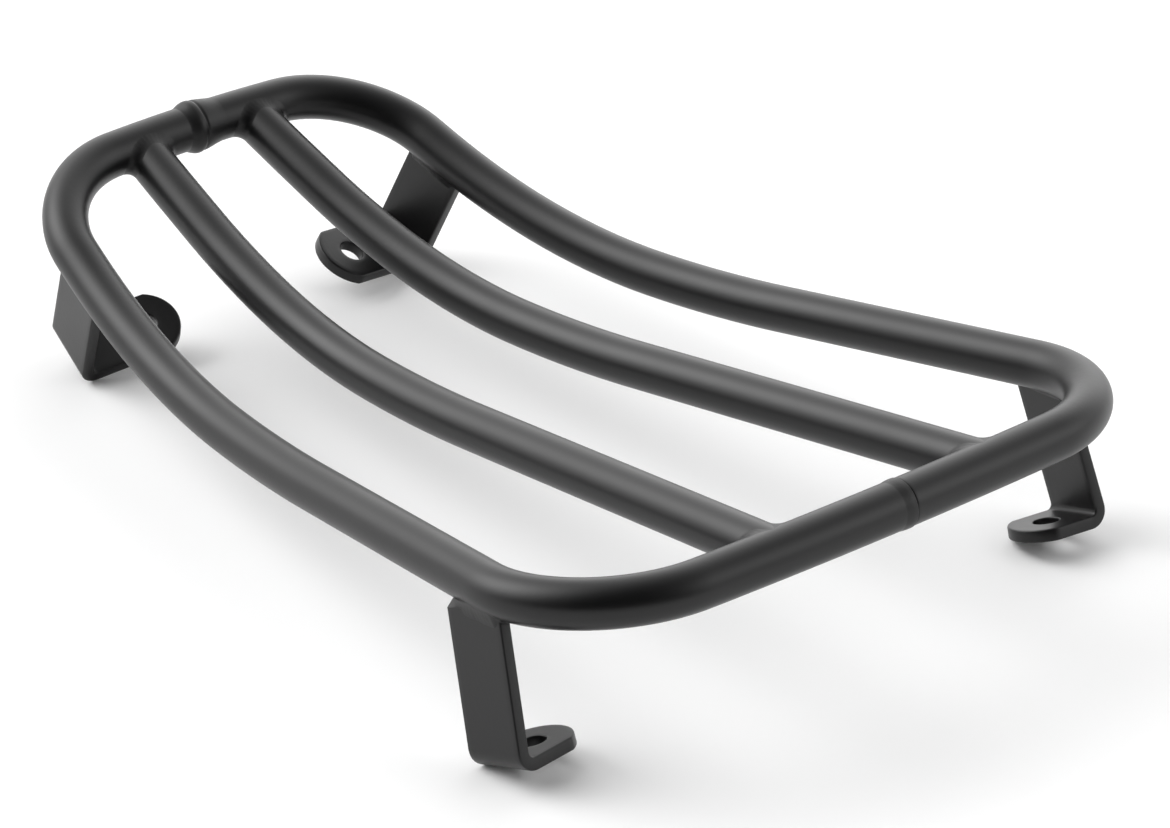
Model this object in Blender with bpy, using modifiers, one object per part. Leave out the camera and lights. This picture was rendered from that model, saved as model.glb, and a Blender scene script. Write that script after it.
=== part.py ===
# Rigid tubular luggage rack that bolts over a scooter's step-through.
# Frame: metres, +Z up, +X from the low end to the raised end, +Y to the left.
# The origin is on the ground, under the middle of the rack, which stands on its four feet.
import math

import bmesh
import bpy
from mathutils import Matrix, Vector

# Tube stock and the clearance that touching pieces keep
TUBE_RADIUS = 0.008
TUBE_WALL = 0.0015
GAP = 0.0003

# Side profile of the tubes' centre plane, from the low end to the raised end
LOW_END_HEIGHT = 0.0662
LOW_SLOPE = math.radians(-9.5)
LOW_STRAIGHT = 0.1574
EASE_RADIUS = 0.563
EASE_ANGLE = math.radians(5.8)
BEND_RADIUS = 0.2605
BEND_ANGLE = math.radians(23.4)
RAISED_STRAIGHT = 0.0418

# Plan of the hoop, laid flat: half widths are where an end run and a side would cross
LOW_HALF_WIDTH = 0.121
RAISED_HALF_WIDTH = 0.0708
LOW_CORNER_RADIUS = 0.0422
RAISED_CORNER_RADIUS = 0.0406
LOW_BOW = 0.0046
RAISED_BOW = 0.0037
BOW_FADE = 0.075

# Joints between the two halves of the hoop
LOW_JOINT_Y = -0.0065
RAISED_JOINT_Y = 0.0
SPIGOT_LENGTH = 0.044
SPIGOT_WALL = 0.0012

# Slats: distance of their centre lines from the middle plane
SLAT_LOW_Y = 0.0432
SLAT_RAISED_Y = 0.0236

# Legs: flat bar bent once, with a round-ended foot that points inwards
BAR_WIDTH = 0.0243
BAR_THICKNESS = 0.0042
BEND_INNER_RADIUS = 0.002
FOOT_END_RADIUS = 0.0135
HOLE_RADIUS = 0.0044
HOLE_TO_TIP = 0.0128
LEG_TOP_DROP = 0.0064
LOW_LEG = {
    "station": 0.0505, "outset": 0.0033, "lean": math.radians(19.4), "yaw": math.radians(4.7),
    "splay": math.radians(6.9), "tuck": math.radians(8.7), "foot": 0.0296,
}
RAISED_LEG_FROM_END = 0.04358
RAISED_LEG = {
    "outset": 0.0012, "lean": math.radians(-25.2), "yaw": math.radians(-6.4),
    "splay": math.radians(-3.9), "tuck": math.radians(5.4), "foot": 0.0434,
}

# Weld beads
RAISED_RING_HEIGHT = 0.0022
RAISED_RING_WIDTH = 0.009
LOW_RING_HEIGHT = 0.0006
LOW_RING_WIDTH = 0.0036
SLAT_BEAD_RADIUS = 0.0016
LEG_BEAD_RADIUS = 0.0018

# Fineness of the curves
TUBE_SIDES = 16
SIDE_POINTS = 26
END_RUN_POINTS = 6
CORNER_POINTS = 9
SLAT_POINTS = 22
RING_STEPS = 24
BEAD_STEPS = 20

PROFILE = (
    (LOW_STRAIGHT, 0.0),
    (EASE_RADIUS * EASE_ANGLE, 1 / EASE_RADIUS),
    (BEND_RADIUS * BEND_ANGLE, 1 / BEND_RADIUS),
    (RAISED_STRAIGHT, 0.0),
)
RUN = sum(length for length, curvature in PROFILE)
RAISED_LEG["station"] = RUN - RAISED_LEG_FROM_END


# ---- geometry of the bent surface that all tubes lie in

def side_profile(s):
    """x, z and slope at distance s along the surface; it runs straight on past both ends."""
    x = 0.0
    z = LOW_END_HEIGHT
    slope = LOW_SLOPE
    for index, (length, curvature) in enumerate(PROFILE):
        last = index == len(PROFILE) - 1
        step = s if last else min(s, length)
        if curvature:
            x += (math.sin(slope + curvature * step) - math.sin(slope)) / curvature
            z -= (math.cos(slope + curvature * step) - math.cos(slope)) / curvature
        else:
            x += math.cos(slope) * step
            z += math.sin(slope) * step
        slope += curvature * step
        s -= step
    return x, z, slope


LOW_REACH = side_profile(-LOW_BOW)[0] - LOW_RING_HEIGHT
RAISED_REACH = side_profile(RUN + RAISED_BOW)[0] + RAISED_RING_HEIGHT
MIDDLE_X = (LOW_REACH + RAISED_REACH) / 2


def lift(s, y):
    """Point of the bent surface at distance s along it and y across it."""
    x, z, slope = side_profile(s)
    return Vector((x - MIDDLE_X, y, z))


def spread(start, end, count):
    """Evenly spaced numbers from start to end, both included."""
    return [start + (end - start) * i / (count - 1) for i in range(count)]


def fillet(before, corner, after, radius):
    """Arc that rounds a corner of the flat plan, from the first leg to the second."""
    to_before = (before - corner).normalized()
    to_after = (after - corner).normalized()
    half = to_before.angle(to_after) / 2
    centre = corner + (to_before + to_after).normalized() * radius / math.sin(half)
    first = corner + to_before * radius / math.tan(half) - centre
    sweep = math.pi - 2 * half
    turn = math.copysign(1, first.x * -to_before.y + first.y * to_before.x)
    points = []
    for angle in spread(0, sweep, CORNER_POINTS):
        spun = Vector((
            first.x * math.cos(angle) - turn * first.y * math.sin(angle),
            first.y * math.cos(angle) + turn * first.x * math.sin(angle),
        ))
        points.append(centre + spun)
    return points


def bowed(s, y):
    """An end run bows outwards in its middle; the bow fades out along the sides."""
    low = LOW_BOW * max(0, 1 - (y / LOW_HALF_WIDTH) ** 2) * max(0, 1 - s / BOW_FADE)
    raised = RAISED_BOW * max(0, 1 - (y / RAISED_HALF_WIDTH) ** 2) * max(0, 1 - (RUN - s) / BOW_FADE)
    return s - low + raised


def hoop_plan(low_y, raised_y):
    """Flat plan of a half of the hoop on +Y, from low_y on one end run to raised_y on the other."""
    low_corner = Vector((0, LOW_HALF_WIDTH))
    raised_corner = Vector((RUN, RAISED_HALF_WIDTH))
    low_arc = fillet(Vector((0, 0)), low_corner, raised_corner, LOW_CORNER_RADIUS)
    raised_arc = fillet(low_corner, raised_corner, Vector((RUN, 0)), RAISED_CORNER_RADIUS)
    plan = [Vector((0, y)) for y in spread(low_y, low_arc[0].y, END_RUN_POINTS)[:-1]]
    plan += low_arc
    plan += [low_arc[-1].lerp(raised_arc[0], t) for t in spread(0, 1, SIDE_POINTS)[1:-1]]
    plan += raised_arc
    plan += [Vector((RUN, y)) for y in spread(raised_arc[-1].y, raised_y, END_RUN_POINTS)[1:]]
    return [Vector((bowed(p.x, p.y), p.y)) for p in plan]


def hoop_path(side, low_y, raised_y):
    """Centre line in space of the half of the hoop on the given side (+1 is left)."""
    return [lift(p.x, side * p.y) for p in hoop_plan(side * low_y, side * raised_y)]


def hoop_loop():
    """Centre line of the whole hoop, closed."""
    left = hoop_path(1, 0, 0)
    right = hoop_path(-1, 0, 0)
    return left + right[-2:0:-1]


def hoop_side_y(station):
    """Distance of the hoop's side from the middle plane, at a distance along the rack."""
    plan = hoop_plan(0, 0)
    for before, after in zip(plan, plan[1:]):
        if before.x <= station <= after.x and before.y > LOW_HALF_WIDTH / 4:
            return before.y + (after.y - before.y) * (station - before.x) / (after.x - before.x)
    return RAISED_HALF_WIDTH


def slat_y(s):
    """Distance of a slat's centre line from the middle plane."""
    return SLAT_LOW_Y + (SLAT_RAISED_Y - SLAT_LOW_Y) * s / RUN


def slat_path(side):
    """Centre line of a slat, from the hoop's low run to its raised run."""
    start = bowed(0, SLAT_LOW_Y)
    end = bowed(RUN, SLAT_RAISED_Y)
    return [lift(s, side * slat_y(s)) for s in spread(start, end, SLAT_POINTS)]


# ---- Blender helpers

def clear_scene():
    for item in list(bpy.data.objects):
        bpy.data.objects.remove(item, do_unlink=True)


def new_collection(name):
    collection = bpy.data.collections.new(name)
    bpy.context.scene.collection.children.link(collection)
    return collection


def make_material(name, color, roughness, metallic):
    material = bpy.data.materials.new(name)
    material.use_nodes = True
    shader = material.node_tree.nodes["Principled BSDF"]
    shader.inputs["Base Color"].default_value = (*color, 1)
    shader.inputs["Roughness"].default_value = roughness
    shader.inputs["Metallic"].default_value = metallic
    return material


def tube_curve(name, points, radius, sides, cyclic=False, caps=True):
    """A round bar along a line of points."""
    curve = bpy.data.curves.new(name, "CURVE")
    curve.dimensions = "3D"
    curve.bevel_depth = radius
    curve.bevel_resolution = (sides - 4) // 2
    curve.use_fill_caps = caps and not cyclic
    curve.render_resolution_u = 0
    spline = curve.splines.new("POLY")
    spline.points.add(len(points) - 1)
    for control, point in zip(spline.points, points):
        control.co = (*point, 1)
    spline.use_cyclic_u = cyclic
    return bpy.data.objects.new(name, curve)


def flat_curve(name, outline, half_depth):
    """A plate with the given closed outline in its own XY plane, extruded both ways along Z."""
    curve = bpy.data.curves.new(name, "CURVE")
    curve.dimensions = "2D"
    curve.fill_mode = "BOTH"
    curve.extrude = half_depth
    curve.render_resolution_u = 0
    spline = curve.splines.new("POLY")
    spline.points.add(len(outline) - 1)
    for control, (x, y) in zip(spline.points, outline):
        control.co = (x, y, 0, 1)
    spline.use_cyclic_u = True
    return bpy.data.objects.new(name, curve)


def to_mesh(item, collection):
    """Replaces a curve object by a mesh object with the same name and place."""
    collection.objects.link(item)
    bpy.context.view_layer.update()
    evaluated = item.evaluated_get(bpy.context.evaluated_depsgraph_get())
    mesh = bpy.data.meshes.new_from_object(evaluated)
    bm = bmesh.new()
    bm.from_mesh(mesh)
    bmesh.ops.remove_doubles(bm, verts=bm.verts, dist=0.00001)
    bmesh.ops.recalc_face_normals(bm, faces=bm.faces)
    bm.to_mesh(mesh)
    bm.free()
    name = item.name
    place = item.matrix_world.copy()
    bpy.data.objects.remove(item)
    solid = bpy.data.objects.new(name, mesh)
    solid.matrix_world = place
    mesh.name = name
    collection.objects.link(solid)
    return solid


def cylinder(name, radius, depth, collection):
    mesh = bpy.data.meshes.new(name)
    bm = bmesh.new()
    bmesh.ops.create_cone(
        bm, cap_ends=True, segments=RING_STEPS, radius1=radius, radius2=radius, depth=depth)
    bm.to_mesh(mesh)
    bm.free()
    solid = bpy.data.objects.new(name, mesh)
    collection.objects.link(solid)
    return solid


def block(name, size, centre, collection):
    """Box with the given size along X, Y and Z round a local centre."""
    mesh = bpy.data.meshes.new(name)
    bm = bmesh.new()
    bmesh.ops.create_cube(bm, size=1, matrix=Matrix.Translation(centre) @ Matrix.Diagonal((*size, 1)))
    bm.to_mesh(mesh)
    bm.free()
    solid = bpy.data.objects.new(name, mesh)
    collection.objects.link(solid)
    return solid


def cutter(item):
    item.hide_render = True
    item.display_type = "WIRE"
    return item


def cut(solid, tool):
    boolean = solid.modifiers.new("cut by " + tool.name, "BOOLEAN")
    boolean.operation = "DIFFERENCE"
    boolean.object = tool
    boolean.solver = "EXACT"


def hollow(item, wall):
    """Turns the open skin of a tube into a wall that grows inwards."""
    solidify = item.modifiers.new("wall", "SOLIDIFY")
    solidify.thickness = wall
    solidify.offset = -1


def finish(solid, material):
    solid.data.materials.clear()
    solid.data.materials.append(material)
    if solid.type == "MESH":
        solid.data.shade_smooth()
        solid.data.set_sharp_from_angle(angle=math.radians(40))


# ---- cutter shared by the pieces that meet the hoop

def hoop_envelope(collection):
    """The hoop's outside plus the gap, as one closed ring."""
    bar = tube_curve("hoop_envelope", hoop_loop(), TUBE_RADIUS + GAP, TUBE_SIDES, cyclic=True)
    return cutter(to_mesh(bar, collection))


# ---- the rack's pieces

def make_hoop_tube(side_name, side, parts, material):
    """Half of the hoop: a hollow tube from joint to joint."""
    low_y = LOW_JOINT_Y + side * GAP / 2
    raised_y = RAISED_JOINT_Y + side * GAP / 2
    path = hoop_path(side, low_y, raised_y)
    tube = tube_curve("hoop_tube_" + side_name, path, TUBE_RADIUS, TUBE_SIDES, caps=False)
    hollow(tube, TUBE_WALL)
    parts.objects.link(tube)
    finish(tube, material)


def make_slat_tube(side_name, side, parts, hoop_tool, material):
    """A slat: a hollow tube whose ends are coped round the hoop."""
    tube = tube_curve("slat_tube_" + side_name, slat_path(side), TUBE_RADIUS, TUBE_SIDES, caps=False)
    hollow(tube, TUBE_WALL)
    solid = to_mesh(tube, parts)
    cut(solid, hoop_tool)
    finish(solid, material)


def make_spigot(end_name, s, joint_y, parts, material):
    """Short sleeve inside the hoop that lines up its halves at a joint."""
    reach = SPIGOT_LENGTH / 2
    path = [lift(bowed(s, y), y) for y in spread(joint_y - reach, joint_y + reach, 4)]
    radius = TUBE_RADIUS - TUBE_WALL - GAP
    sleeve = tube_curve("joint_spigot_" + end_name, path, radius, TUBE_SIDES, caps=False)
    hollow(sleeve, SPIGOT_WALL)
    parts.objects.link(sleeve)
    finish(sleeve, material)


def make_joint_ring(end_name, s, joint_y, height, width, parts, material):
    """Weld bead round the hoop at a joint: a low arched section turned about the tube's axis."""
    inner = TUBE_RADIUS + GAP
    outline = [(inner, width / 2)]
    for angle in spread(math.radians(30), math.radians(150), 5):
        outline.append((inner + height * math.sin(angle), width / 2 * math.cos(angle)))
    outline.append((inner, -width / 2))
    name = "joint_weld_" + end_name
    mesh = bpy.data.meshes.new(name)
    bm = bmesh.new()
    corners = [bm.verts.new((x, 0, z)) for x, z in outline]
    for i, corner in enumerate(corners):
        bm.edges.new((corner, corners[(i + 1) % len(corners)]))
    bm.to_mesh(mesh)
    bm.free()
    ring = bpy.data.objects.new(name, mesh)
    before = lift(bowed(s, joint_y - width / 2), joint_y - width / 2)
    after = lift(bowed(s, joint_y + width / 2), joint_y + width / 2)
    turn = (after - before).to_track_quat("Z", "Y").to_matrix().to_4x4()
    ring.matrix_world = Matrix.Translation((before + after) / 2) @ turn
    screw = ring.modifiers.new("turn", "SCREW")
    screw.axis = "Z"
    screw.steps = RING_STEPS
    screw.render_steps = RING_STEPS
    screw.use_merge_vertices = True
    screw.merge_threshold = 0.00001
    parts.objects.link(ring)
    finish(ring, material)


def slat_bead_section(angle, corner, along, across, hoop_axis):
    """Section of a slat's weld bead at an angle round the slat: its four corners.

    The first corner is where the slat's and the hoop's outsides, each with the gap, cross.
    """
    radius = TUBE_RADIUS + GAP
    normal = along.cross(across)
    out = across * math.sin(angle) + normal * math.cos(angle)
    flat_along = along - hoop_axis * along.dot(hoop_axis)
    flat_out = (out - hoop_axis * out.dot(hoop_axis)) * radius
    a = flat_along.length_squared
    b = flat_along.dot(flat_out)
    c = flat_out.length_squared - radius ** 2
    root = out * radius + along * (-b + math.sqrt(max(0, b * b - a * c))) / a

    on_slat = root + along * SLAT_BEAD_RADIUS
    away = across * math.sin(angle) - along * abs(math.cos(angle))
    beside = root + away * SLAT_BEAD_RADIUS
    lengthwise = hoop_axis * beside.dot(hoop_axis)
    on_hoop = lengthwise + (beside - lengthwise).normalized() * radius
    hoop_normal = (root - hoop_axis * root.dot(hoop_axis)).normalized()
    crest = root + (hoop_normal + out).normalized() * SLAT_BEAD_RADIUS
    return [corner + point for point in (root, on_slat, crest, on_hoop)]


def loft_ring(name, sections, parts):
    """Closed ring through sections that each have the same number of corners."""
    bm = bmesh.new()
    rows = [[bm.verts.new(point) for point in section] for section in sections]
    for row, following in zip(rows, rows[1:] + rows[:1]):
        for i in range(len(row)):
            j = (i + 1) % len(row)
            bm.faces.new((row[i], row[j], following[j], following[i]))
    bmesh.ops.recalc_face_normals(bm, faces=bm.faces)
    mesh = bpy.data.meshes.new(name)
    bm.to_mesh(mesh)
    bm.free()
    ring = bpy.data.objects.new(name, mesh)
    parts.objects.link(ring)
    return ring


def make_slat_bead(side_name, side, end, parts, material):
    """Weld bead round the end of a slat, in the corner between it and the hoop."""
    path = slat_path(side)
    s = 0
    if end == "raised":
        path.reverse()
        s = RUN
    corner = path[0]
    along = (path[1] - corner).normalized()
    step = TUBE_RADIUS
    hoop_axis = (
        lift(bowed(s, corner.y + step), corner.y + step) - lift(bowed(s, corner.y - step), corner.y - step)
    ).normalized()
    across = (hoop_axis - along * along.dot(hoop_axis)).normalized()
    sections = [
        slat_bead_section(2 * math.pi * i / BEAD_STEPS, corner, along, across, hoop_axis)
        for i in range(BEAD_STEPS)
    ]
    finish(loft_ring("slat_weld_" + side_name + "_" + end, sections, parts), material)


def leg_outline(leg, depth):
    """Side view of a leg as (outwards, up) points about its anchor: strap, bend and foot."""
    half = BAR_THICKNESS / 2
    tuck = leg["tuck"]
    along = Vector((-math.cos(tuck), math.sin(tuck)))
    up = Vector((math.sin(tuck), math.cos(tuck)))
    heel = Vector((half, -depth))
    tip = heel + along * leg["foot"]
    inside = heel + up * BAR_THICKNESS
    inside += along * (inside.x + half) / math.cos(tuck)
    top_outer = Vector((half, -LEG_TOP_DROP))
    top_inner = Vector((-half, -LEG_TOP_DROP))
    outline = [top_outer]
    outline += fillet(top_outer, heel, tip, BEND_INNER_RADIUS + BAR_THICKNESS)
    outline += [tip, tip + up * BAR_THICKNESS]
    outline += fillet(tip + up * BAR_THICKNESS, inside, top_inner, BEND_INNER_RADIUS)
    outline += [top_inner]
    return outline


def leg_place(leg, side):
    """Matrix of a leg's own frame: X along the rack, Y to the left, Z up the strap."""
    y = side * (hoop_side_y(leg["station"]) + leg["outset"])
    turn = (
        Matrix.Rotation(side * leg["yaw"], 4, "Z")
        @ Matrix.Rotation(leg["lean"], 4, "Y")
        @ Matrix.Rotation(side * leg["splay"], 4, "X")
    )
    return Matrix.Translation(lift(leg["station"], y)) @ turn


def leg_depth(leg):
    """Length of the strap that brings the foot's lowest point down to the ground."""
    place = leg_place(leg, 1)
    first_try = LOW_END_HEIGHT
    lowest = min(
        (place @ Vector((width, point.x, point.y))).z
        for point in leg_outline(leg, first_try) for width in (-BAR_WIDTH / 2, BAR_WIDTH / 2)
    )
    return first_try + lowest / place[2][2]


def make_leg(end, leg, side_name, side, parts, cutters, hoop_tool, material):
    """A leg: bent flat bar, coped under the hoop, with a round-ended foot and one hole."""
    name = "leg_" + end + "_" + side_name
    depth = leg_depth(leg)
    place = leg_place(leg, side)
    outline = [(side * point.x, point.y) for point in leg_outline(leg, depth)]
    edge_on = Matrix(((0, 0, 1, 0), (1, 0, 0, 0), (0, 1, 0, 0), (0, 0, 0, 1)))
    plate = flat_curve(name, outline, BAR_WIDTH / 2)
    plate.matrix_world = place @ edge_on
    solid = to_mesh(plate, parts)
    cut(solid, hoop_tool)

    heel = Vector((0, side * BAR_THICKNESS / 2, -depth))
    along = Vector((0, -side * math.cos(leg["tuck"]), math.sin(leg["tuck"])))
    up = Vector((0, side * math.sin(leg["tuck"]), math.cos(leg["tuck"])))
    middle = heel + up * BAR_THICKNESS / 2
    tilt = Matrix.Rotation(-side * leg["tuck"], 4, "X")

    drill = cutter(cylinder(name + "_hole", HOLE_RADIUS, BAR_THICKNESS * 3, cutters))
    drill.matrix_world = place @ Matrix.Translation(middle + along * (leg["foot"] - HOLE_TO_TIP)) @ tilt
    cut(solid, drill)

    margin = BAR_WIDTH / 4
    reach = FOOT_END_RADIUS + margin
    rounding = [(FOOT_END_RADIUS * math.cos(a), FOOT_END_RADIUS * math.sin(a)) for a in spread(0, math.pi, 17)]
    rounding += [(-reach, 0), (-reach, reach), (reach, reach), (reach, 0)]
    facing = Matrix((Vector((1, 0, 0)), along, Vector((1, 0, 0)).cross(along))).transposed().to_4x4()
    nose = flat_curve(name + "_nose", rounding, BAR_THICKNESS)
    nose.matrix_world = place @ Matrix.Translation(middle + along * (leg["foot"] - FOOT_END_RADIUS)) @ facing
    cut(solid, cutter(to_mesh(nose, cutters)))
    finish(solid, material)


def make_leg_bead(end, leg, side_name, side, parts, cutters, hoop_tool, material):
    """Weld bead round the top of a leg's strap, between it and the hoop's underside."""
    name = "leg_weld_" + end + "_" + side_name
    place = leg_place(leg, side)
    bottom = -TUBE_RADIUS - LEG_BEAD_RADIUS
    top = -TUBE_RADIUS / 4
    size = (BAR_WIDTH + 2 * LEG_BEAD_RADIUS, BAR_THICKNESS + 2 * LEG_BEAD_RADIUS, top - bottom)
    bead = block(name, size, (0, 0, (top + bottom) / 2), parts)
    bead.matrix_world = place
    rounding = bead.modifiers.new("rounding", "BEVEL")
    rounding.width = LEG_BEAD_RADIUS * 0.8
    rounding.segments = 2
    size = (BAR_WIDTH + 2 * GAP, BAR_THICKNESS + 2 * GAP, 4 * TUBE_RADIUS)
    bar = cutter(block(name + "_bar", size, (0, 0, -2 * TUBE_RADIUS), cutters))
    bar.matrix_world = place
    cut(bead, bar)
    cut(bead, hoop_tool)
    finish(bead, material)


def main():
    clear_scene()
    parts = new_collection("scooter_luggage_rack")
    cutters = new_collection("cutters")
    coat = make_material("satin_black_coat", (0.035, 0.035, 0.037), 0.42, 0.1)
    bead_coat = make_material("weld_black_coat", (0.045, 0.045, 0.048), 0.5, 0.1)
    bare_steel = make_material("bare_steel", (0.42, 0.41, 0.39), 0.45, 1.0)
    hoop_tool = hoop_envelope(cutters)
    for end, s, joint_y, height, width in (
        ("low", 0, LOW_JOINT_Y, LOW_RING_HEIGHT, LOW_RING_WIDTH),
        ("raised", RUN, RAISED_JOINT_Y, RAISED_RING_HEIGHT, RAISED_RING_WIDTH),
    ):
        make_spigot(end, s, joint_y, parts, bare_steel)
        make_joint_ring(end, s, joint_y, height, width, parts, bead_coat)
    for side_name, side in (("left", 1), ("right", -1)):
        make_hoop_tube(side_name, side, parts, coat)
        make_slat_tube(side_name, side, parts, hoop_tool, coat)
        for end in ("low", "raised"):
            make_slat_bead(side_name, side, end, parts, bead_coat)
        for end, leg in (("low", LOW_LEG), ("raised", RAISED_LEG)):
            make_leg(end, leg, side_name, side, parts, cutters, hoop_tool, coat)
            make_leg_bead(end, leg, side_name, side, parts, cutters, hoop_tool, bead_coat)


main()
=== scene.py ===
import math

import bmesh
import bpy
import numpy as np
from mathutils import Matrix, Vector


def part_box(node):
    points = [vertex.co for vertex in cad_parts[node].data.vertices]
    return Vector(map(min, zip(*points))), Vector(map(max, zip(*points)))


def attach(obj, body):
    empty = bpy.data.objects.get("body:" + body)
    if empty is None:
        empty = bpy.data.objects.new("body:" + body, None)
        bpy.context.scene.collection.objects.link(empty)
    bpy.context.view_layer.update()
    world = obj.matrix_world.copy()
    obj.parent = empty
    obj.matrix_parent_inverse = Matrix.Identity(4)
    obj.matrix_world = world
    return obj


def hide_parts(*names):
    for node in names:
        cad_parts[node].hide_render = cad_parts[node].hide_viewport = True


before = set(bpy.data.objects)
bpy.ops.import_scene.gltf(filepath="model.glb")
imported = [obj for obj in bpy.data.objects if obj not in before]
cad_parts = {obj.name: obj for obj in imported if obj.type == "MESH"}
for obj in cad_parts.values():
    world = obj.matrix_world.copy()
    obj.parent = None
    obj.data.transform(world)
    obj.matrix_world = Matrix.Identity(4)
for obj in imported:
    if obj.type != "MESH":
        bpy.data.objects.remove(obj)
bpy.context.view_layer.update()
print("frame loaded:", len(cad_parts), "nodes")

# the rack's own sizes: two bent tubes make the hoop, and two more lie across it
rack = {
    "tubeRadius": 0.008,
    "tubeWall": 0.0015,
    "lowSlope": math.radians(-9.5),  # the low end points down at this angle
    "sideRuns": (  # length and bend radius of each run of the side view, 0 is straight
        (0.1574, 0),
        (0.563 * math.radians(5.8), 0.563),
        (0.2605 * math.radians(23.4), 0.2605),
        (0.0418, 0),
    ),
    "lowHalfWidth": 0.121,  # where an end run and a side would cross
    "raisedHalfWidth": 0.0708,
    "lowCorner": 0.0422,
    "raisedCorner": 0.0406,
    "lowBow": 0.0046,  # the end runs bow outwards
    "raisedBow": 0.0037,
    "bowFade": 0.075,
    "step": 0.0016,  # spacing of the rings of points along a tube
    "sides": 56,
}
rack["run"] = sum(length for length, radius in rack["sideRuns"])


# small tools for points and meshes

def unit(v):
    return v / np.linalg.norm(v, axis=-1, keepdims=True)


def smooth(t):
    # 0 to 1 with level ends: t squared times (3 - 2t)
    t = np.clip(t, 0, 1)
    return t * t * (3 - 2 * t)


def gridFaces(rows, columns, loopRows=False, loopColumns=True):
    # quads between neighbouring points of a grid; a looped direction joins its last line to its first
    r = np.arange(rows if loopRows else rows - 1)
    c = np.arange(columns if loopColumns else columns - 1)
    r, c = np.meshgrid(r, c, indexing="ij")
    nextR, nextC = (r + 1) % rows, (c + 1) % columns
    quads = (r * columns + c, r * columns + nextC, nextR * columns + nextC, nextR * columns + c)
    return np.stack(quads, axis=-1).reshape(-1, 4)


def newPiece(name, points, quads, finish):
    # one mesh object at the origin that rides on the rack and stands for the CAD node of its name; points
    # that lie on each other are joined, and the closed skin then has its faces turned outwards
    points = points.reshape(-1, 3)
    mesh = bpy.data.meshes.new(name + "_surface")
    mesh.vertices.add(len(points))
    mesh.vertices.foreach_set("co", points.astype(np.float32).ravel())
    mesh.loops.add(quads.size)
    mesh.loops.foreach_set("vertex_index", quads.astype(np.int32).ravel())
    mesh.polygons.add(len(quads))
    mesh.polygons.foreach_set("loop_start", np.arange(0, quads.size, 4, dtype=np.int32))
    mesh.update(calc_edges=True)
    bm = bmesh.new()
    bm.from_mesh(mesh)
    bmesh.ops.remove_doubles(bm, verts=bm.verts, dist=1e-6)
    loose = [v for v in bm.verts if not v.link_faces]
    bmesh.ops.delete(bm, geom=loose, context="VERTS")
    bmesh.ops.recalc_face_normals(bm, faces=bm.faces)
    bm.to_mesh(mesh)
    bm.free()
    mesh.validate()
    mesh.shade_smooth()
    mesh.set_sharp_from_angle(angle=math.radians(55))
    mesh.materials.append(finish)
    piece = bpy.data.objects.new(name + "_finished", mesh)
    bpy.context.scene.collection.objects.link(piece)
    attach(piece, "root")
    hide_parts(name)
    return piece


# the bent surface that all four tubes lie in

def sideLine(s):
    # x, z and slope at distance s along the side view: each run adds its chord and its turn, one after
    # the other, and the last one carries straight on past the end
    s = np.asarray(s, float)
    x, z, slope = np.zeros_like(s), np.zeros_like(s), np.full_like(s, rack["lowSlope"])
    left = s.copy()
    for i, (length, radius) in enumerate(rack["sideRuns"]):
        along = left if i == len(rack["sideRuns"]) - 1 else np.minimum(left, length)
        if radius:
            turned = slope + along / radius
            x = x + radius * (np.sin(turned) - np.sin(slope))
            z = z - radius * (np.cos(turned) - np.cos(slope))
            slope = turned
        else:
            x = x + np.cos(slope) * along
            z = z + np.sin(slope) * along
        left = left - along
    return x, z, slope


def bowed(s, y):
    # an end run moves outwards by its bow times 1 - (y / half width) squared, fading out along the sides
    lowShare = np.maximum(0, 1 - (y / rack["lowHalfWidth"]) ** 2) * np.maximum(0, 1 - s / rack["bowFade"])
    raisedShare = np.maximum(0, 1 - (y / rack["raisedHalfWidth"]) ** 2)
    raisedShare = raisedShare * np.maximum(0, 1 - (rack["run"] - s) / rack["bowFade"])
    return s - rack["lowBow"] * lowShare + rack["raisedBow"] * raisedShare


def placeInFrame():
    # moves the side view so that the hoop's own middle in x and z is the middle of the CAD hoop's box
    s = np.linspace(-rack["lowBow"], rack["run"] + rack["raisedBow"], 400)
    x, z = sideLine(s)[:2]
    boxes = [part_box("hoop_tube_left"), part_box("hoop_tube_right")]
    low = [min(box[0][axis] for box in boxes) for axis in range(3)]
    high = [max(box[1][axis] for box in boxes) for axis in range(3)]
    return (low[0] + high[0] - x.min() - x.max()) / 2, (low[2] + high[2] - z.min() - z.max()) / 2


shiftX, shiftZ = placeInFrame()


def lift(s, y):
    # point of the bent surface at distance s along it and y across it
    x, z = sideLine(s)[:2]
    return np.stack(np.broadcast_arrays(x + shiftX, y, z + shiftZ), axis=-1)


def surfaceUp(s):
    # normal of the bent surface
    slope = sideLine(s)[2]
    return np.stack((-np.sin(slope), np.zeros_like(slope), np.cos(slope)), axis=-1)


def roundCorner(before, corner, after, radius):
    # arc that touches both legs of a corner: its centre is on the bisector at radius / sin(half angle)
    bisector = unit(unit(before - corner) + unit(after - corner))
    across = unit(unit(after - corner) - unit(before - corner))
    half = math.acos(unit(before - corner) @ bisector)
    phi = np.linspace(half - math.pi / 2, math.pi / 2 - half, 160)[:, None]
    centre = corner + bisector * radius / math.sin(half)
    return centre + radius * (across * np.sin(phi) - bisector * np.cos(phi))


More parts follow.
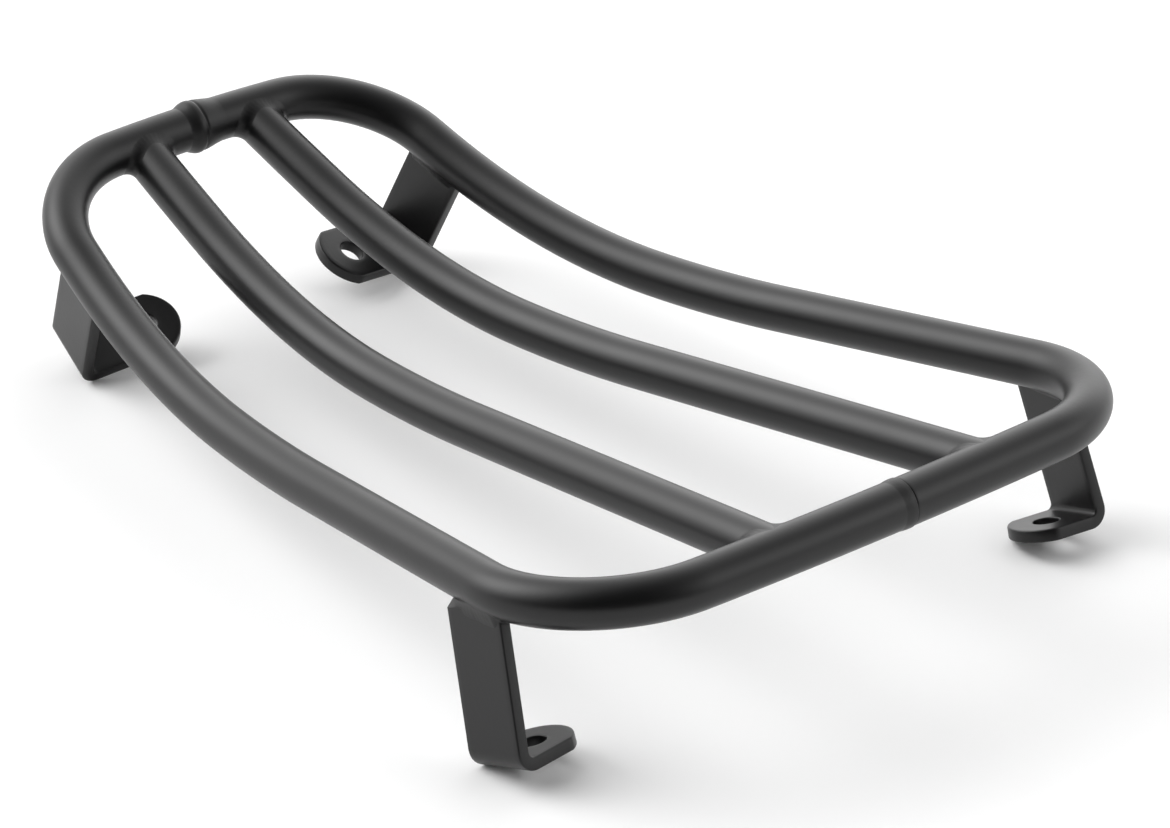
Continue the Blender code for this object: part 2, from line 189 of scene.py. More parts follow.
def hoopPlan(lowY, raisedY):
    # flat plan (s, y) of half the hoop from one joint to the other: run, arc, side, arc, run, then bowed
    lowCorner = np.array([0, rack["lowHalfWidth"]])
    raisedCorner = np.array([rack["run"], rack["raisedHalfWidth"]])
    lowArc = roundCorner(np.zeros(2), lowCorner, raisedCorner, rack["lowCorner"])
    raisedArc = roundCorner(lowCorner, raisedCorner, np.array([rack["run"], 0]), rack["raisedCorner"])
    t = np.linspace(0, 1, 500)[1:-1, None]
    lowRun = np.array([0, lowY]) + (lowArc[0] - [0, lowY]) * np.linspace(0, 1, 200)[:-1, None]
    side = lowArc[-1] + (raisedArc[0] - lowArc[-1]) * t
    raisedRun = raisedArc[-1] + ([rack["run"], raisedY] - raisedArc[-1]) * np.linspace(0, 1, 200)[1:, None]
    plan = np.concatenate((lowRun, lowArc, side, raisedArc, raisedRun))
    return np.column_stack((bowed(plan[:, 0], plan[:, 1]), plan[:, 1]))


def evenly(plan, spacing, closer=()):
    # the same plan line with its points a fixed distance apart along the lifted curve, and at the distances
    # in closer from either end
    placed = lift(plan[:, 0], plan[:, 1])
    travelled = np.concatenate(([0], np.cumsum(np.linalg.norm(np.diff(placed, axis=0), axis=1))))
    whole, closer = travelled[-1], np.asarray(closer, float)
    at = np.linspace(0, whole, int(whole / spacing) + 1)
    at = np.unique(np.concatenate((at, closer, whole - closer)))
    spaced = np.column_stack([np.interp(at, travelled, plan[:, k]) for k in range(2)])
    return spaced, np.minimum(at, whole - at)


def sweep(plan, radius, sides):
    # round section carried along a plan line: centre + radius * (cos a * up + sin a * across), with up the
    # normal of the bent surface and across square to it and to the line; the radius may change on the way
    radius = np.broadcast_to(radius, len(plan))[:, None, None]
    centre = lift(plan[:, 0], plan[:, 1])
    up = surfaceUp(plan[:, 0])
    across = unit(np.cross(np.gradient(centre, axis=0), up))
    a = np.linspace(0, 2 * np.pi, sides, endpoint=False)[None, :, None]
    return centre[:, None] + radius * (np.cos(a) * up[:, None] + np.sin(a) * across[:, None])


# the whole hoop's centre line, closed, for measuring how far a point is from the hoop
leftHalf, fromEnd = evenly(hoopPlan(0, 0), 0.001)
hoopCentres = lift(leftHalf[:, 0], leftHalf[:, 1])
mirrored = hoopCentres[-2:0:-1] * [1, -1, 1]
hoopCentres = np.concatenate((hoopCentres, mirrored))
hoopEdges = np.roll(hoopCentres, -1, axis=0) - hoopCentres


def nearestOnHoop(points):
    # nearest point of the hoop's centre line: each point is dropped onto every short edge, and the
    # closest wins
    flat = points.reshape(-1, 3)
    offset = flat[:, None] - hoopCentres[None]
    t = np.clip((offset * hoopEdges).sum(-1) / (hoopEdges ** 2).sum(-1), 0, 1)
    apart = np.linalg.norm(offset - t[..., None] * hoopEdges, axis=-1)
    best = apart.argmin(axis=1)
    row = np.arange(len(flat))
    nearest = hoopCentres[best] + t[row, best][:, None] * hoopEdges[best]
    return nearest.reshape(points.shape)


def clearOfHoop(points):
    # distance outside the hoop's surface, negative inside it
    return np.linalg.norm(points - nearestOnHoop(points), axis=-1) - rack["tubeRadius"]


def ontoHoop(points, depth=0.0):
    # the points moved straight onto the hoop's surface, or a little below it
    nearest = nearestOnHoop(points)
    return nearest + unit(points - nearest) * (rack["tubeRadius"] - depth)


def whereItLeaves(pointAt, inside, outside):
    # halves the interval until each column's point lies on the hoop's surface
    low, high = inside.copy(), outside.copy()
    for _ in range(26):
        middle = (low + high) / 2
        isOut = clearOfHoop(pointAt(middle)) > 0
        high = np.where(isOut, middle, high)
        low = np.where(isOut, low, middle)
    return high


# finishes

def newFinish(name, base, rough, metal=0.0):
    finish = bpy.data.materials.new(name)
    finish.use_nodes = True
    shader = finish.node_tree.nodes["Principled BSDF"]
    shader.inputs["Base Color"].default_value = (*base, 1)
    shader.inputs["Roughness"].default_value = rough
    shader.inputs["Metallic"].default_value = metal
    return finish, finish.node_tree, shader


def noise(tree, place, scale, detail, roughness=0.5):
    node = tree.nodes.new("ShaderNodeTexNoise")
    node.inputs["Scale"].default_value = scale
    node.inputs["Detail"].default_value = detail
    node.inputs["Roughness"].default_value = roughness
    tree.links.new(place, node.inputs["Vector"])
    return node.outputs["Fac"]


def spread(tree, value, low, high):
    # stretches the middle of a noise to the range from low to high
    node = tree.nodes.new("ShaderNodeMapRange")
    node.inputs["From Min"].default_value = 0.3
    node.inputs["From Max"].default_value = 0.7
    node.inputs["To Min"].default_value = low
    node.inputs["To Max"].default_value = high
    tree.links.new(value, node.inputs["Value"])
    return node.outputs["Result"]


def tint(tree, value, dark, light):
    node = tree.nodes.new("ShaderNodeMix")
    node.data_type = "RGBA"
    node.inputs["A"].default_value = (*dark, 1)
    node.inputs["B"].default_value = (*light, 1)
    tree.links.new(value, node.inputs["Factor"])
    return node.outputs["Result"]


def bump(tree, heights, shader):
    # chains bumps, given as (height, strength, distance), into the shader's normal
    normal = None
    for height, strength, distance in heights:
        node = tree.nodes.new("ShaderNodeBump")
        node.inputs["Strength"].default_value = strength
        node.inputs["Distance"].default_value = distance
        tree.links.new(height, node.inputs["Height"])
        if normal:
            tree.links.new(normal, node.inputs["Normal"])
        normal = node.outputs["Normal"]
    tree.links.new(normal, shader.inputs["Normal"])


def powderCoat(name, look):
    # satin powder coat: orange peel in two sizes, a slow drift of grey, and roughness that wanders a little
    finish, tree, shader = newFinish(name, look["dark"], look["rough"][0])
    place = tree.nodes.new("ShaderNodeTexCoord").outputs["Object"]
    drift = noise(tree, place, look["driftScale"], 3)
    fine = noise(tree, place, look["peelScale"], 2)
    grain = noise(tree, place, look["grainScale"], 1)
    color = tint(tree, spread(tree, drift, 0, 1), look["dark"], look["light"])
    tree.links.new(color, shader.inputs["Base Color"])
    tree.links.new(spread(tree, drift, *look["rough"]), shader.inputs["Roughness"])
    layers = ((fine, look["peel"], look["peelDepth"]), (grain, look["grain"], look["grainDepth"]))
    bump(tree, layers, shader)
    shader.inputs["IOR"].default_value = look["ior"]
    return finish


coat = {
    "dark": (0.0024, 0.0023, 0.0026),
    "light": (0.0044, 0.0042, 0.0045),
    "rough": (0.34, 0.40),
    "ior": 1.43,
    "driftScale": 22,
    "peelScale": 620,
    "peel": 0.16,
    "peelDepth": 0.00012,
    "grainScale": 2600,
    "grain": 0.10,
    "grainDepth": 0.00003,
}
satinBlack = powderCoat("satin_black_powder", coat)
weldBlack = powderCoat("powder_over_weld", {**coat, "rough": (0.38, 0.48), "peel": 0.28, "grain": 0.18})


def bareTubeSteel(look):
    # bare sleeve steel: fine lines drawn across the sleeve, with darker and rougher patches
    finish, tree, shader = newFinish("bare_sleeve_steel", look["bright"], 0.4, 1.0)
    place = tree.nodes.new("ShaderNodeTexCoord").outputs["Object"]
    stretch = tree.nodes.new("ShaderNodeMapping")
    stretch.inputs["Scale"].default_value = look["lineScale"]
    tree.links.new(place, stretch.inputs["Vector"])
    lines = noise(tree, stretch.outputs["Vector"], 1, 3)
    patches = noise(tree, place, look["patchScale"], 4)
    tree.links.new(tint(tree, patches, look["dull"], look["bright"]), shader.inputs["Base Color"])
    tree.links.new(spread(tree, patches, 0.32, 0.55), shader.inputs["Roughness"])
    bump(tree, ((lines, 0.3, 0.00004),), shader)
    return finish


sleeve = {
    "bright": (0.46, 0.45, 0.43),
    "dull": (0.27, 0.25, 0.23),
    "lineScale": (5200, 240, 5200),
    "patchScale": 160,
}
sleeveSteel = bareTubeSteel(sleeve)
for nodeName in ("joint_spigot_low", "joint_spigot_raised"):
    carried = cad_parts[nodeName]
    for k in range(len(carried.material_slots)):
        carried.material_slots[k].material = sleeveSteel
print("finishes made")


# tubes

def hollowGrid(outer, inner):
    # outer skin out, inner skin back: closed both ways, so that the ends of the wall are closed too
    return np.concatenate((outer, inner[::-1]))


hoop = {
    "lowJointY": -0.0065,
    "raisedJointY": 0.0,
    "halfSeam": 0.00015,
    "endRound": {"left": 0.0002, "right": 0.0009},  # the right half's rounder ends leave a groove
}


def makeHoopHalf(sideName, side):
    # section carried along the half's centre line, made for +Y and mirrored for the right; its radius drops
    # by e - sqrt(e^2 - (e - d)^2) at a distance d below e from an end
    lowY, raisedY = (side * hoop[key] + hoop["halfSeam"] for key in ("lowJointY", "raisedJointY"))
    plan = hoopPlan(lowY, raisedY)
    e = hoop["endRound"][sideName]
    plan, fromEnd = evenly(plan, rack["step"], e * (1 - np.cos(np.linspace(0, np.pi / 2, 7))))
    short = np.maximum(0, e - fromEnd)
    outer = sweep(plan, rack["tubeRadius"] - e + np.sqrt(e * e - short * short), rack["sides"])
    inner = sweep(plan, rack["tubeRadius"] - rack["tubeWall"], rack["sides"])
    points = hollowGrid(outer, inner) * [1, side, 1]
    quads = gridFaces(points.shape[0], points.shape[1], loopRows=True)
    newPiece("hoop_tube_" + sideName, points, quads, satinBlack)


slat = {
    "lowY": 0.0432,  # distance of the centre line from the middle plane
    "raisedY": 0.0236,
    "search": 0.022,  # the end of a slat is looked for this far from the hoop's centre line
    "drop": 0.0012,  # the raised end sits this much lower than the hoop, so its cope has a round tip
    "dropFade": 0.075,
    "rows": 220,
}


def slatY(s):
    return slat["lowY"] + (slat["raisedY"] - slat["lowY"]) * s / rack["run"]


def slatCentre(s):
    # centre line of the left slat: on the bent surface, less a drop that comes in near the raised end
    drop = slat["drop"] * smooth((s - rack["run"] + slat["dropFade"]) / slat["dropFade"])
    return lift(s, slatY(s)) - surfaceUp(s) * drop[..., None]


def slatPoint(s, a, radius):
    # point of the left slat's skin at distance s and angle a:
    # centre + radius * (cos a * up + sin a * across)
    s, a = np.broadcast_arrays(s, a)
    small = 1e-4
    along = slatCentre(s + small) - slatCentre(s - small)
    across = unit(np.cross(along, surfaceUp(s)))
    up = unit(np.cross(across, along))
    a = a[..., None]
    return slatCentre(s) + radius * (np.cos(a) * up + np.sin(a) * across)


def slatEnds(a, radius):
    # where each line along the slat's skin meets the hoop, at the low end and at the raised end
    lowCentre = bowed(np.zeros_like(a), slat["lowY"])
    raisedCentre = bowed(np.full_like(a, rack["run"]), slat["raisedY"])
    low = whereItLeaves(lambda s: slatPoint(s, a, radius), lowCentre, lowCentre + slat["search"])
    raised = whereItLeaves(lambda s: slatPoint(s, a, radius), raisedCentre, raisedCentre - slat["search"])
    return low, raised


def makeSlat(sideName, side):
    # each line of the skin runs from the hoop's skin at one end to the hoop's skin at the other
    a = np.linspace(0, 2 * np.pi, rack["sides"], endpoint=False)
    v = np.linspace(0, 1, slat["rows"])[:, None]
    skins = []
    for radius in (rack["tubeRadius"], rack["tubeRadius"] - rack["tubeWall"]):
        low, raised = slatEnds(a, radius)
        skins.append(slatPoint(low + (raised - low) * v, a, radius))
    points = hollowGrid(*skins) * [1, side, 1]
    quads = gridFaces(points.shape[0], points.shape[1], loopRows=True)
    newPiece("slat_tube_" + sideName, points, quads, satinBlack)


for sideName, side in (("left", 1), ("right", -1)):
    makeHoopHalf(sideName, side)
    makeSlat(sideName, side)
print("tubes made")


# weld beads

def filletGrid(root, onPiece, onHoop, outwards, look, size):
    # closed ring round a joint. Across it runs a curve from the toe on the piece to the toe on the hoop,
    # (1-p)^2 * toe + 2p(1-p) * pull + p^2 * toe, whose pull point lies between the root and the chord and
    # rises and falls with every ripple; the way back goes under the skin
    chord = (onPiece + onHoop) / 2
    length = np.linalg.norm(np.roll(root, -1, axis=0) - root, axis=1)
    travelled = np.cumsum(length) - length
    ripples = max(1, round(travelled[-1] / look["ripple"]))
    p = np.linspace(0, 1, look["steps"])[:, None]
    turns = travelled / (travelled[-1] + length[-1]) * ripples
    phase = 2 * np.pi * turns[None] - look["arch"] * (1 - (2 * p - 1) ** 2)
    wave = 1 + look["rippleShare"] * np.cos(phase)
    size = np.asarray(size)[None, :, None] if np.ndim(size) else size
    pull = root + look["fullness"] * (chord - root) + wave[..., None] * outwards * look["crown"] * size
    p = p[..., None]
    bead = (1 - p) ** 2 * onPiece + 2 * p * (1 - p) * pull + p ** 2 * onHoop
    under = root - outwards * look["under"]
    return np.concatenate((bead, under[None]))


def makeRing(name, points, side):
    points = points * [1, side, 1]
    quads = gridFaces(points.shape[0], points.shape[1], loopRows=True)
    newPiece(name, points, quads, weldBlack)


slatBead = {
    "reach": 0.0034,  # how far the bead runs out over each tube
    "crown": 0.0002,
    "fullness": 0.08,
    "rippleShare": 0.10,
    "ripple": 0.0015,
    "arch": 2.6,  # how far a ripple runs ahead in the middle of the bead, in radians
    "under": 0.0006,
    "steps": 12,
    "sink": 0.00004,
    "flush": 0.12,
    "sides": 240,
}


def makeSlatBead(sideName, side, end):
    # root: the line where slat and hoop cross; toes: the reach away along the slat and out over the hoop
    look = slatBead
    a = np.linspace(0, 2 * np.pi, look["sides"], endpoint=False)
    low, raised = slatEnds(a, rack["tubeRadius"])
    start, away = (low, 1) if end == "low" else (raised, -1)
    root = slatPoint(start, a, rack["tubeRadius"])
    centre = slatCentre(start)
    radial = unit(root - centre)
    hoopNormal = unit(root - nearestOnHoop(root))
    # the bead shrinks where slat and hoop run smoothly into each other
    share = 0.15 + 0.85 * smooth((1 - (radial * hoopNormal).sum(-1)) / look["flush"])
    reach = look["reach"] * share
    onSlat = slatPoint(start + away * reach, a, rack["tubeRadius"] - look["sink"])
    along = unit(onSlat - root)
    across = np.sin(a)[:, None] * unit(slatPoint(start, np.full_like(a, np.pi / 2), 0.01) - centre)
    leaning = across - along * np.abs(np.cos(a))[:, None]
    leaning = unit(leaning - hoopNormal * (leaning * hoopNormal).sum(-1, keepdims=True))
    onHoop = ontoHoop(root + leaning * reach[:, None], look["sink"])
    outwards = unit(radial + hoopNormal)
    points = filletGrid(root, onSlat, onHoop, outwards, look, share)
    makeRing("slat_weld_" + sideName + "_" + end, points, side)


joints = {
    "low": {
        "s": 0.0, "y": hoop["lowJointY"], "left": 0.0050, "right": 0.0004,
        "height": 0.0003, "gentle": 0.75, "step": 0.95, "kept": 0.0, "nick": 0.0, "lump": 0.12,
    },
    "raised": {
        "s": rack["run"], "y": hoop["raisedJointY"], "left": 0.0066, "right": 0.0104,
        "height": 0.0015, "gentle": 0.30, "step": 0.38, "kept": 0.86, "nick": 0.0004, "lump": 0.14,
    },
}


def makeJointRing(end, look):
    # turned about the hoop, from its left edge to its right one: the height rises gently over the first
    # share of the width, drops at the step to the share that is kept, and that share runs out to the right
    # edge; a nick of e^-(distance / 3.4 % of the width)^2 marks the step, slow lumps run round the ring, and
    # the way back goes under the skin
    u = np.linspace(0, 1, 72)
    rise = smooth(u / look["gentle"])
    stepped = smooth((u - look["step"]) / 0.045)
    kept = look["kept"] * (1 - smooth((u - look["step"]) / (1 - look["step"])))
    y = look["y"] + look["left"] - u * (look["left"] + look["right"])
    s = bowed(np.full_like(u, look["s"]), y)
    a = np.linspace(0, 2 * np.pi, 160, endpoint=False)[None]
    lump = 1 + look["lump"] * (0.6 * np.cos(2 * a + 0.8) + 0.4 * np.cos(5 * a + 2.1))
    height = look["height"] * (rise * (1 - stepped + kept * stepped))[:, None] * lump
    height = height - look["nick"] * np.exp(-((u - look["step"] - 0.02) / 0.034) ** 2)[:, None]
    radius = rack["tubeRadius"] - 0.00004 + height
    centre = lift(s, y)
    up = surfaceUp(s)
    across = unit(np.cross(np.gradient(centre, axis=0), up))
    direction = np.cos(a)[..., None] * up[:, None] + np.sin(a)[..., None] * across[:, None]
    outer = centre[:, None] + radius[..., None] * direction
    under = centre[:, None] + (rack["tubeRadius"] - 0.0011) * direction
    points = np.concatenate((outer, under[[-1, 0]]))
    makeRing("joint_weld_" + end, points, 1)


for sideName, side in (("left", 1), ("right", -1)):
    for end in ("low", "raised"):
        makeSlatBead(sideName, side, end)
for end in joints:
    makeJointRing(end, joints[end])
print("slat and joint beads made")


# legs: flat bar bent once, with a round end and one hole

bar = {
    "width": 0.0243,
    "thickness": 0.0042,
    "edge": 0.0006,  # radius of the bar's long edges under the coat
    "bendInner": 0.002,
    "endRadius": 0.0135,
    "hole": 0.0044,
    "lip": 0.0005,  # rounding of the hole's rim
    "holeToTip": 0.0128,
    "topDrop": 0.0064,  # the strap is cut off this far under the hoop's centre line
    "seam": 0.0092,  # the strap's grid hands over to the foot's this far before the hole
    "search": 0.02,  # how far down the strap its way out of the hoop is looked for
    "faceRows": 6,
    "faceColumns": 14,
    "arcSteps": 4,  # points of a quarter arc on an edge
}
legs = {  # angles in degrees; guess is a first length for the strap
    "low": {
        "station": 0.0505, "outset": 0.0033, "lean": 19.4, "yaw": 4.7,
        "splay": 6.9, "tuck": 8.7, "foot": 0.0296, "guess": 0.058,
    },
    "raised": {
        "station": rack["run"] - 0.04358, "outset": 0.0012, "lean": -25.2, "yaw": -6.4,
        "splay": -3.9, "tuck": 5.4, "foot": 0.0434, "guess": 0.048,
    },
}


def hoopSideY(station):
    # distance of the hoop's side from the middle plane; the side is the stretch beyond the low corner
    side = leftHalf[leftHalf[:, 1] > rack["lowHalfWidth"] / 4]
    side = side[np.argmax(side[:, 1]):]
    return float(np.interp(station, side[:, 0], side[:, 1]))


def legPlace(leg):
    # the leg's own frame on the left side: X along the rack, Y outwards, Z up the strap
    y = hoopSideY(leg["station"]) + leg["outset"]
    anchor = lift(np.array(leg["station"]), np.array(y))
    turn = (
        Matrix.Rotation(math.radians(leg["yaw"]), 3, "Z")
        @ Matrix.Rotation(math.radians(leg["lean"]), 3, "Y")
        @ Matrix.Rotation(math.radians(leg["splay"]), 3, "X")
    )
    return anchor, np.array(turn)


def bendPlan(leg, depth):
    # lengths along the middle of the bar: strap down to the bend, the bend's turn and radius, and where
    # the heel (the corner that the outer faces would make) lies
    half = bar["thickness"] / 2
    tuck = math.radians(leg["tuck"])
    turn = math.pi / 2 + tuck
    radius = bar["bendInner"] + half
    reach = (half + radius) * math.tan(turn / 2)  # from the heel to the end of the bend, along either face
    strap = depth - bar["topDrop"] - reach
    return {"strap": strap, "turn": turn, "radius": radius, "reach": reach, "bendEnd": strap + radius * turn}


def barPoint(plan, u, w, n):
    # u along the middle of the bar, w across it, n outwards from it: straight down, round the bend, then
    # straight inwards, with n always square to the middle line
    u, w, n = np.broadcast_arrays(u, w, n)
    angle = np.clip((u - plan["strap"]) / plan["radius"], 0, plan["turn"])
    onFoot = np.maximum(0, u - plan["bendEnd"])
    out = plan["radius"] * (np.cos(angle) - 1) + onFoot * math.cos(plan["turn"] + math.pi / 2)
    down = bar["topDrop"] + np.minimum(u, plan["strap"]) + plan["radius"] * np.sin(angle)
    down = down + onFoot * math.cos(plan["turn"])
    return np.stack((w, out + n * np.cos(angle), -down - n * np.sin(angle)), axis=-1)


def roundedEdge(radius):
    # (out, rise) over the edge of a plate: a quarter arc off the outer face, the flat, a quarter arc onto
    # the inner face, without the two points that lie on the faces
    quarter = np.linspace(np.pi / 2, 0, bar["arcSteps"] + 1)[1:]
    out = radius * np.cos(quarter)
    rise = bar["thickness"] / 2 - radius + radius * np.sin(quarter)
    return np.concatenate((out, out[::-1])), np.concatenate((rise, -rise[::-1]))


def barSection(faceColumns):
    # rounded rectangle, once round: (w, n) of its points and (w, n) of its outward normals, in the order
    # outer face, edge, inner face, edge
    half, flat = bar["thickness"] / 2, bar["width"] / 2 - bar["edge"]
    w = np.linspace(-flat, flat, faceColumns)
    out, rise = roundedEdge(bar["edge"])
    face, none, level = np.full_like(w, half), np.zeros_like(w), np.ones_like(w)
    acrossBar = np.concatenate((w, flat + out, w[::-1], -flat - out))
    points = np.stack((acrossBar, np.concatenate((face, rise, -face, -rise))))
    tilt = np.sign(rise) * np.sqrt(np.maximum(0, 1 - (out / bar["edge"]) ** 2))
    normalW = np.concatenate((none, out / bar["edge"], none, -out / bar["edge"]))
    normalN = np.concatenate((level, tilt, -level, -tilt))
    return points, np.stack((normalW, normalN))


def footOutline(seamAt, tipAt):
    # inset outline of the foot's end as (u, w, outward u, outward w), once round: across the seam, along
    # one side, round the end, and back along the other side
    flat = bar["width"] / 2 - bar["edge"]
    endCentre = tipAt - bar["endRadius"]
    radius = bar["endRadius"] - bar["edge"]
    opening = math.asin(flat / radius)
    seam = np.linspace(-flat, flat, bar["faceColumns"])
    sideU = np.linspace(seamAt, endCentre + radius * math.cos(opening), 12)[1:-1]
    phi = np.linspace(opening, -opening, 33)
    u = np.concatenate((np.full_like(seam, seamAt), sideU, endCentre + radius * np.cos(phi), sideU[::-1]))
    w = np.concatenate((seam, np.full_like(sideU, flat), radius * np.sin(phi), np.full_like(sideU, -flat)))
    outU = np.concatenate((np.zeros_like(seam), np.zeros_like(sideU), np.cos(phi), np.zeros_like(sideU)))
    outW = np.concatenate((np.sign(seam), np.ones_like(sideU), np.sin(phi), -np.ones_like(sideU)))
    return u, w, outU, outW


def footGrid(plan, holeAt, seamAt, tipAt):
    # once round the wall of the foot for every point of its outline: outer face from the hole's lip out to
    # the edge, over the edge, back along the inner face and through the hole
    half = bar["thickness"] / 2
    u, w, outU, outW = footOutline(seamAt, tipAt)
    edgeOut, edgeRise = roundedEdge(bar["edge"])
    lipOut, lipRise = roundedEdge(bar["lip"])
    angle = np.arctan2(w, u - holeAt)
    lipRadius = bar["hole"] + bar["lip"]
    t = np.linspace(0, 1, bar["faceRows"])[:, None]
    faceU = (holeAt + lipRadius * np.cos(angle)) * (1 - t) + u * t
    faceW = lipRadius * np.sin(angle) * (1 - t) + w * t
    overU = u + edgeOut[:, None] * outU
    overW = w + edgeOut[:, None] * outW
    wallRadius = (lipRadius - lipOut)[:, None]
    gridU = np.concatenate((faceU, overU, faceU[::-1], holeAt + wallRadius * np.cos(angle)))
    gridW = np.concatenate((faceW, overW, faceW[::-1], wallRadius * np.sin(angle)))
    face = np.full(bar["faceRows"], half)
    rise = np.concatenate((face, edgeRise, -face, -lipRise))
    points = barPoint(plan, gridU, gridW, rise[:, None])
    rows, columns = points.shape[:2]
    quads = gridFaces(rows, columns, loopRows=True)
    row, column = quads[:, 0] // columns, quads[:, 0] % columns
    overEdge = (row >= bar["faceRows"] - 1) & (row < bar["faceRows"] + len(edgeRise))
    atSeam = column < bar["faceColumns"] - 1
    return points.reshape(-1, 3), quads[~(overEdge & atSeam)]


def topOfStrap(plan, anchor, turn, section):
    # u where each line along the strap leaves the hoop's skin, or 0 where the cut-off top is outside it
    def pointAt(u):
        return anchor + barPoint(plan, u, *section) @ turn.T

    start = np.zeros_like(section[0])
    gap = clearOfHoop(pointAt(start))
    top = whereItLeaves(pointAt, start, start + bar["search"])
    return np.where(gap > 0, 0, top), np.maximum(gap, 0), pointAt


def buildLeg(leg, depth):
    # the strap and the bend are the section carried along the bar; the foot's end is its own grid round
    # the hole, and they share the points of the seam
    plan = bendPlan(leg, depth)
    anchor, turn = legPlace(leg)
    section = barSection(bar["faceColumns"])[0]
    tipAt = plan["bendEnd"] - plan["reach"] + leg["foot"]
    holeAt = tipAt - bar["holeToTip"]
    seamAt = holeAt - bar["seam"]
    top = topOfStrap(plan, anchor, turn, section)[0]
    strapRows = top + (plan["strap"] - top) * np.linspace(0, 1, 26)[:, None]
    bendRows = np.linspace(plan["strap"], plan["bendEnd"], 22)[1:, None] + 0 * top
    footRows = np.linspace(plan["bendEnd"], seamAt, 8)[1:, None] + 0 * top
    strap = barPoint(plan, np.concatenate((strapRows, bendRows, footRows)), *section)
    rows, columns = strap.shape[:2]
    # the cut-off top is closed by rungs between the outer and the inner face, and over both edges
    outerFace = np.arange(bar["faceColumns"] - 1)
    innerFace = 2 * bar["faceColumns"] + 2 * bar["arcSteps"] - 1 - outerFace
    rungs = [np.column_stack((outerFace, outerFace + 1, innerFace - 1, innerFace))]
    edgePoints = 2 * bar["arcSteps"] + 2
    for first in (bar["faceColumns"] - 1, columns - edgePoints + 1):
        i = np.arange(bar["arcSteps"])
        near, far = first + i, first + edgePoints - 1 - i
        rungs.append(np.column_stack((near, near + 1, far - 1, far)) % columns)
    foot, footQuads = footGrid(plan, holeAt, seamAt, tipAt)
    points = np.concatenate((strap.reshape(-1, 3), foot))
    quads = np.concatenate((gridFaces(rows, columns), footQuads + rows * columns))
    quads = np.concatenate((quads, *rungs))
    return anchor + points @ turn.T, quads, plan


def makeLeg(end, leg, sideName, side):
    # the strap's length comes from the ground: the foot's lowest point is where the CAD leg's is
    name = "leg_" + end + "_" + sideName
    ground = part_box(name)[0].z
    depth = leg["guess"]
    for _ in range(2):
        points, quads, plan = buildLeg(leg, depth)
        depth += (points[:, 2].min() - ground) / legPlace(leg)[1][2, 2]
    points, quads, plan = buildLeg(leg, depth)
    newPiece(name, points * [1, side, 1], quads, satinBlack)
    return plan


legBead = {
    "reach": 0.0034,
    "crown": 0.0003,
    "fullness": 0.42,
    "rippleShare": 0.06,
    "ripple": 0.0019,
    "arch": 2.6,
    "under": 0.0006,
    "steps": 12,
    "sink": 0.00004,
    "faceColumns": 110,
    "edgeFade": 0.003,
    "gapLeft": 0.0036,  # the bead dies out where the strap stands this far clear of the hoop
}


def makeLegBead(end, leg, plan, sideName, side):
    # root: the line where strap and hoop cross; toes: down the strap, and away from it over the hoop
    look = legBead
    anchor, turn = legPlace(leg)
    section, normals = barSection(look["faceColumns"])
    top, gap, pointAt = topOfStrap(plan, anchor, turn, section)
    # and it keeps to the strap's two faces: at the long edges only a little of it is left
    fromEdge = bar["width"] / 2 - np.abs(section[0])
    share = (1 - smooth(gap / look["gapLeft"])) * (0.25 + 0.75 * smooth(fromEdge / look["edgeFade"]))
    root = pointAt(top)
    out = np.stack((normals[0], normals[1], 0 * normals[0]), axis=-1) @ turn.T
    onStrap = pointAt(top + look["reach"] * share) - out * look["sink"]
    hoopNormal = unit(root - nearestOnHoop(root))
    over = unit(out - hoopNormal * (out * hoopNormal).sum(-1, keepdims=True))
    onHoop = ontoHoop(root + over * (look["reach"] * share)[:, None], look["sink"])
    points = filletGrid(root, onStrap, onHoop, unit(out + hoopNormal), look, share)
    makeRing("leg_weld_" + end + "_" + sideName, points, side)


for sideName, side in (("left", 1), ("right", -1)):
    for end in legs:
        legPlan = makeLeg(end, legs[end], sideName, side)
        makeLegBead(end, legs[end], legPlan, sideName, side)
print("legs made")


# floor, light and camera

def plainSurface(name, color):
    finish = bpy.data.materials.new(name)
    finish.use_nodes = True
    shader = finish.node_tree.nodes["Principled BSDF"]
    shader.inputs["Base Color"].default_value = (*color, 1)
    shader.inputs["Roughness"].default_value = 0.9
    shader.inputs["Specular IOR Level"].default_value = 0.1
    return finish


studio = {
    "floorSize": 8.0,
    "floorColor": (0.96, 0.96, 0.96),
    "dim": 0.026,  # the studio between its softboxes
    "softboxes": (  # compass angle from +X, height angle, strength, tightness
        (35, 36, 6.6, 11.3),
        (-50, 18, 2.35, 3.1),
        (-136, 23, 2.3, 12.0),
    ),
}
half = studio["floorSize"] / 2
floorMesh = bpy.data.meshes.new("studio_floor")
floorCorners = [(-half, -half, 0), (half, -half, 0), (half, half, 0), (-half, half, 0)]
floorMesh.from_pydata(floorCorners, [], [(0, 1, 2, 3)])
floorMesh.materials.append(plainSurface("pale_floor", studio["floorColor"]))
floor = bpy.data.objects.new("studio_floor", floorMesh)
bpy.context.scene.collection.objects.link(floor)


def mathNode(tree, operation, *values):
    node = tree.nodes.new("ShaderNodeMath")
    node.operation = operation
    for k, value in enumerate(values):
        if isinstance(value, bpy.types.NodeSocket):
            tree.links.new(value, node.inputs[k])
        else:
            node.inputs[k].default_value = value
    return node.outputs["Value"]


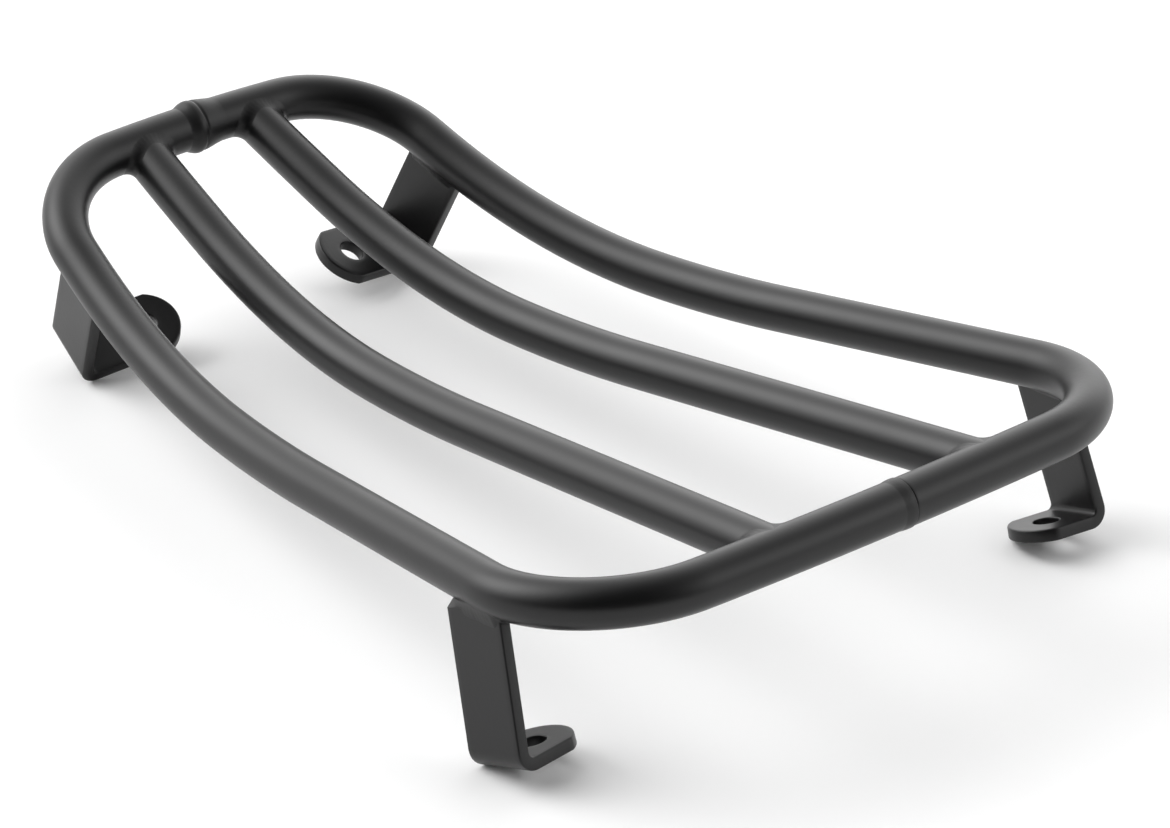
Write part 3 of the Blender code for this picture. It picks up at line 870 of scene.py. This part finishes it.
def makeStudio():
    # brightness of the studio in a direction: dim + the sum of strength * e^(tightness * (c - 1)) over the
    # softboxes, where c is the cosine of the angle to the middle of the softbox
    world = bpy.data.worlds.new("studio")
    bpy.context.scene.world = world
    world.use_nodes = True
    tree = world.node_tree
    direction = tree.nodes.new("ShaderNodeTexCoord").outputs["Generated"]
    total = studio["dim"]
    for compass, height, strength, tightness in studio["softboxes"]:
        compass, height = math.radians(compass), math.radians(height)
        cosine = tree.nodes.new("ShaderNodeVectorMath")
        cosine.operation = "DOT_PRODUCT"
        tree.links.new(direction, cosine.inputs[0])
        level = math.cos(height)
        middle = (level * math.cos(compass), level * math.sin(compass), math.sin(height))
        cosine.inputs[1].default_value = middle
        fall = mathNode(tree, "MULTIPLY_ADD", cosine.outputs["Value"], tightness, -tightness)
        total = mathNode(tree, "MULTIPLY_ADD", mathNode(tree, "EXPONENT", fall), strength, total)
    tree.links.new(total, tree.nodes["Background"].inputs["Strength"])
    tree.nodes["Background"].inputs["Color"].default_value = (1, 1, 1, 1)


makeStudio()
bpy.context.scene.view_settings.view_transform = "Standard"

view = {
    "azimuth": 230.55,  # the same angles as the frame's own views use
    "elevation": 28.37,
    "roll": 0.245,
    "distance": 1.714,
    "aim": (-0.01996, -0.01493, 0.02702),
    "lens": 158.19,
}


def placeCamera():
    # back = direction from the aim point to the camera; the camera's own Z, with X level and then rolled
    a, e = math.radians(view["azimuth"]), math.radians(view["elevation"])
    back = np.array([math.sin(a) * math.cos(e), -math.cos(a) * math.cos(e), math.sin(e)])
    right = unit(np.cross([0, 0, 1], back))
    up = np.cross(back, right)
    roll = math.radians(view["roll"])
    rolledRight = right * math.cos(roll) + up * math.sin(roll)
    rolledUp = up * math.cos(roll) - right * math.sin(roll)
    matrix = np.eye(4)
    matrix[:3, :3] = np.column_stack((rolledRight, rolledUp, back))
    matrix[:3, 3] = np.array(view["aim"]) + back * view["distance"]
    data = bpy.data.cameras.new("camera")
    data.sensor_width = 36
    data.sensor_fit = "HORIZONTAL"
    data.lens = view["lens"]
    data.clip_start = 0.05
    camera = bpy.data.objects.new("camera", data)
    camera.matrix_world = Matrix(matrix)
    bpy.context.scene.collection.objects.link(camera)
    bpy.context.scene.camera = camera


placeCamera()
print("floor, light and camera placed")
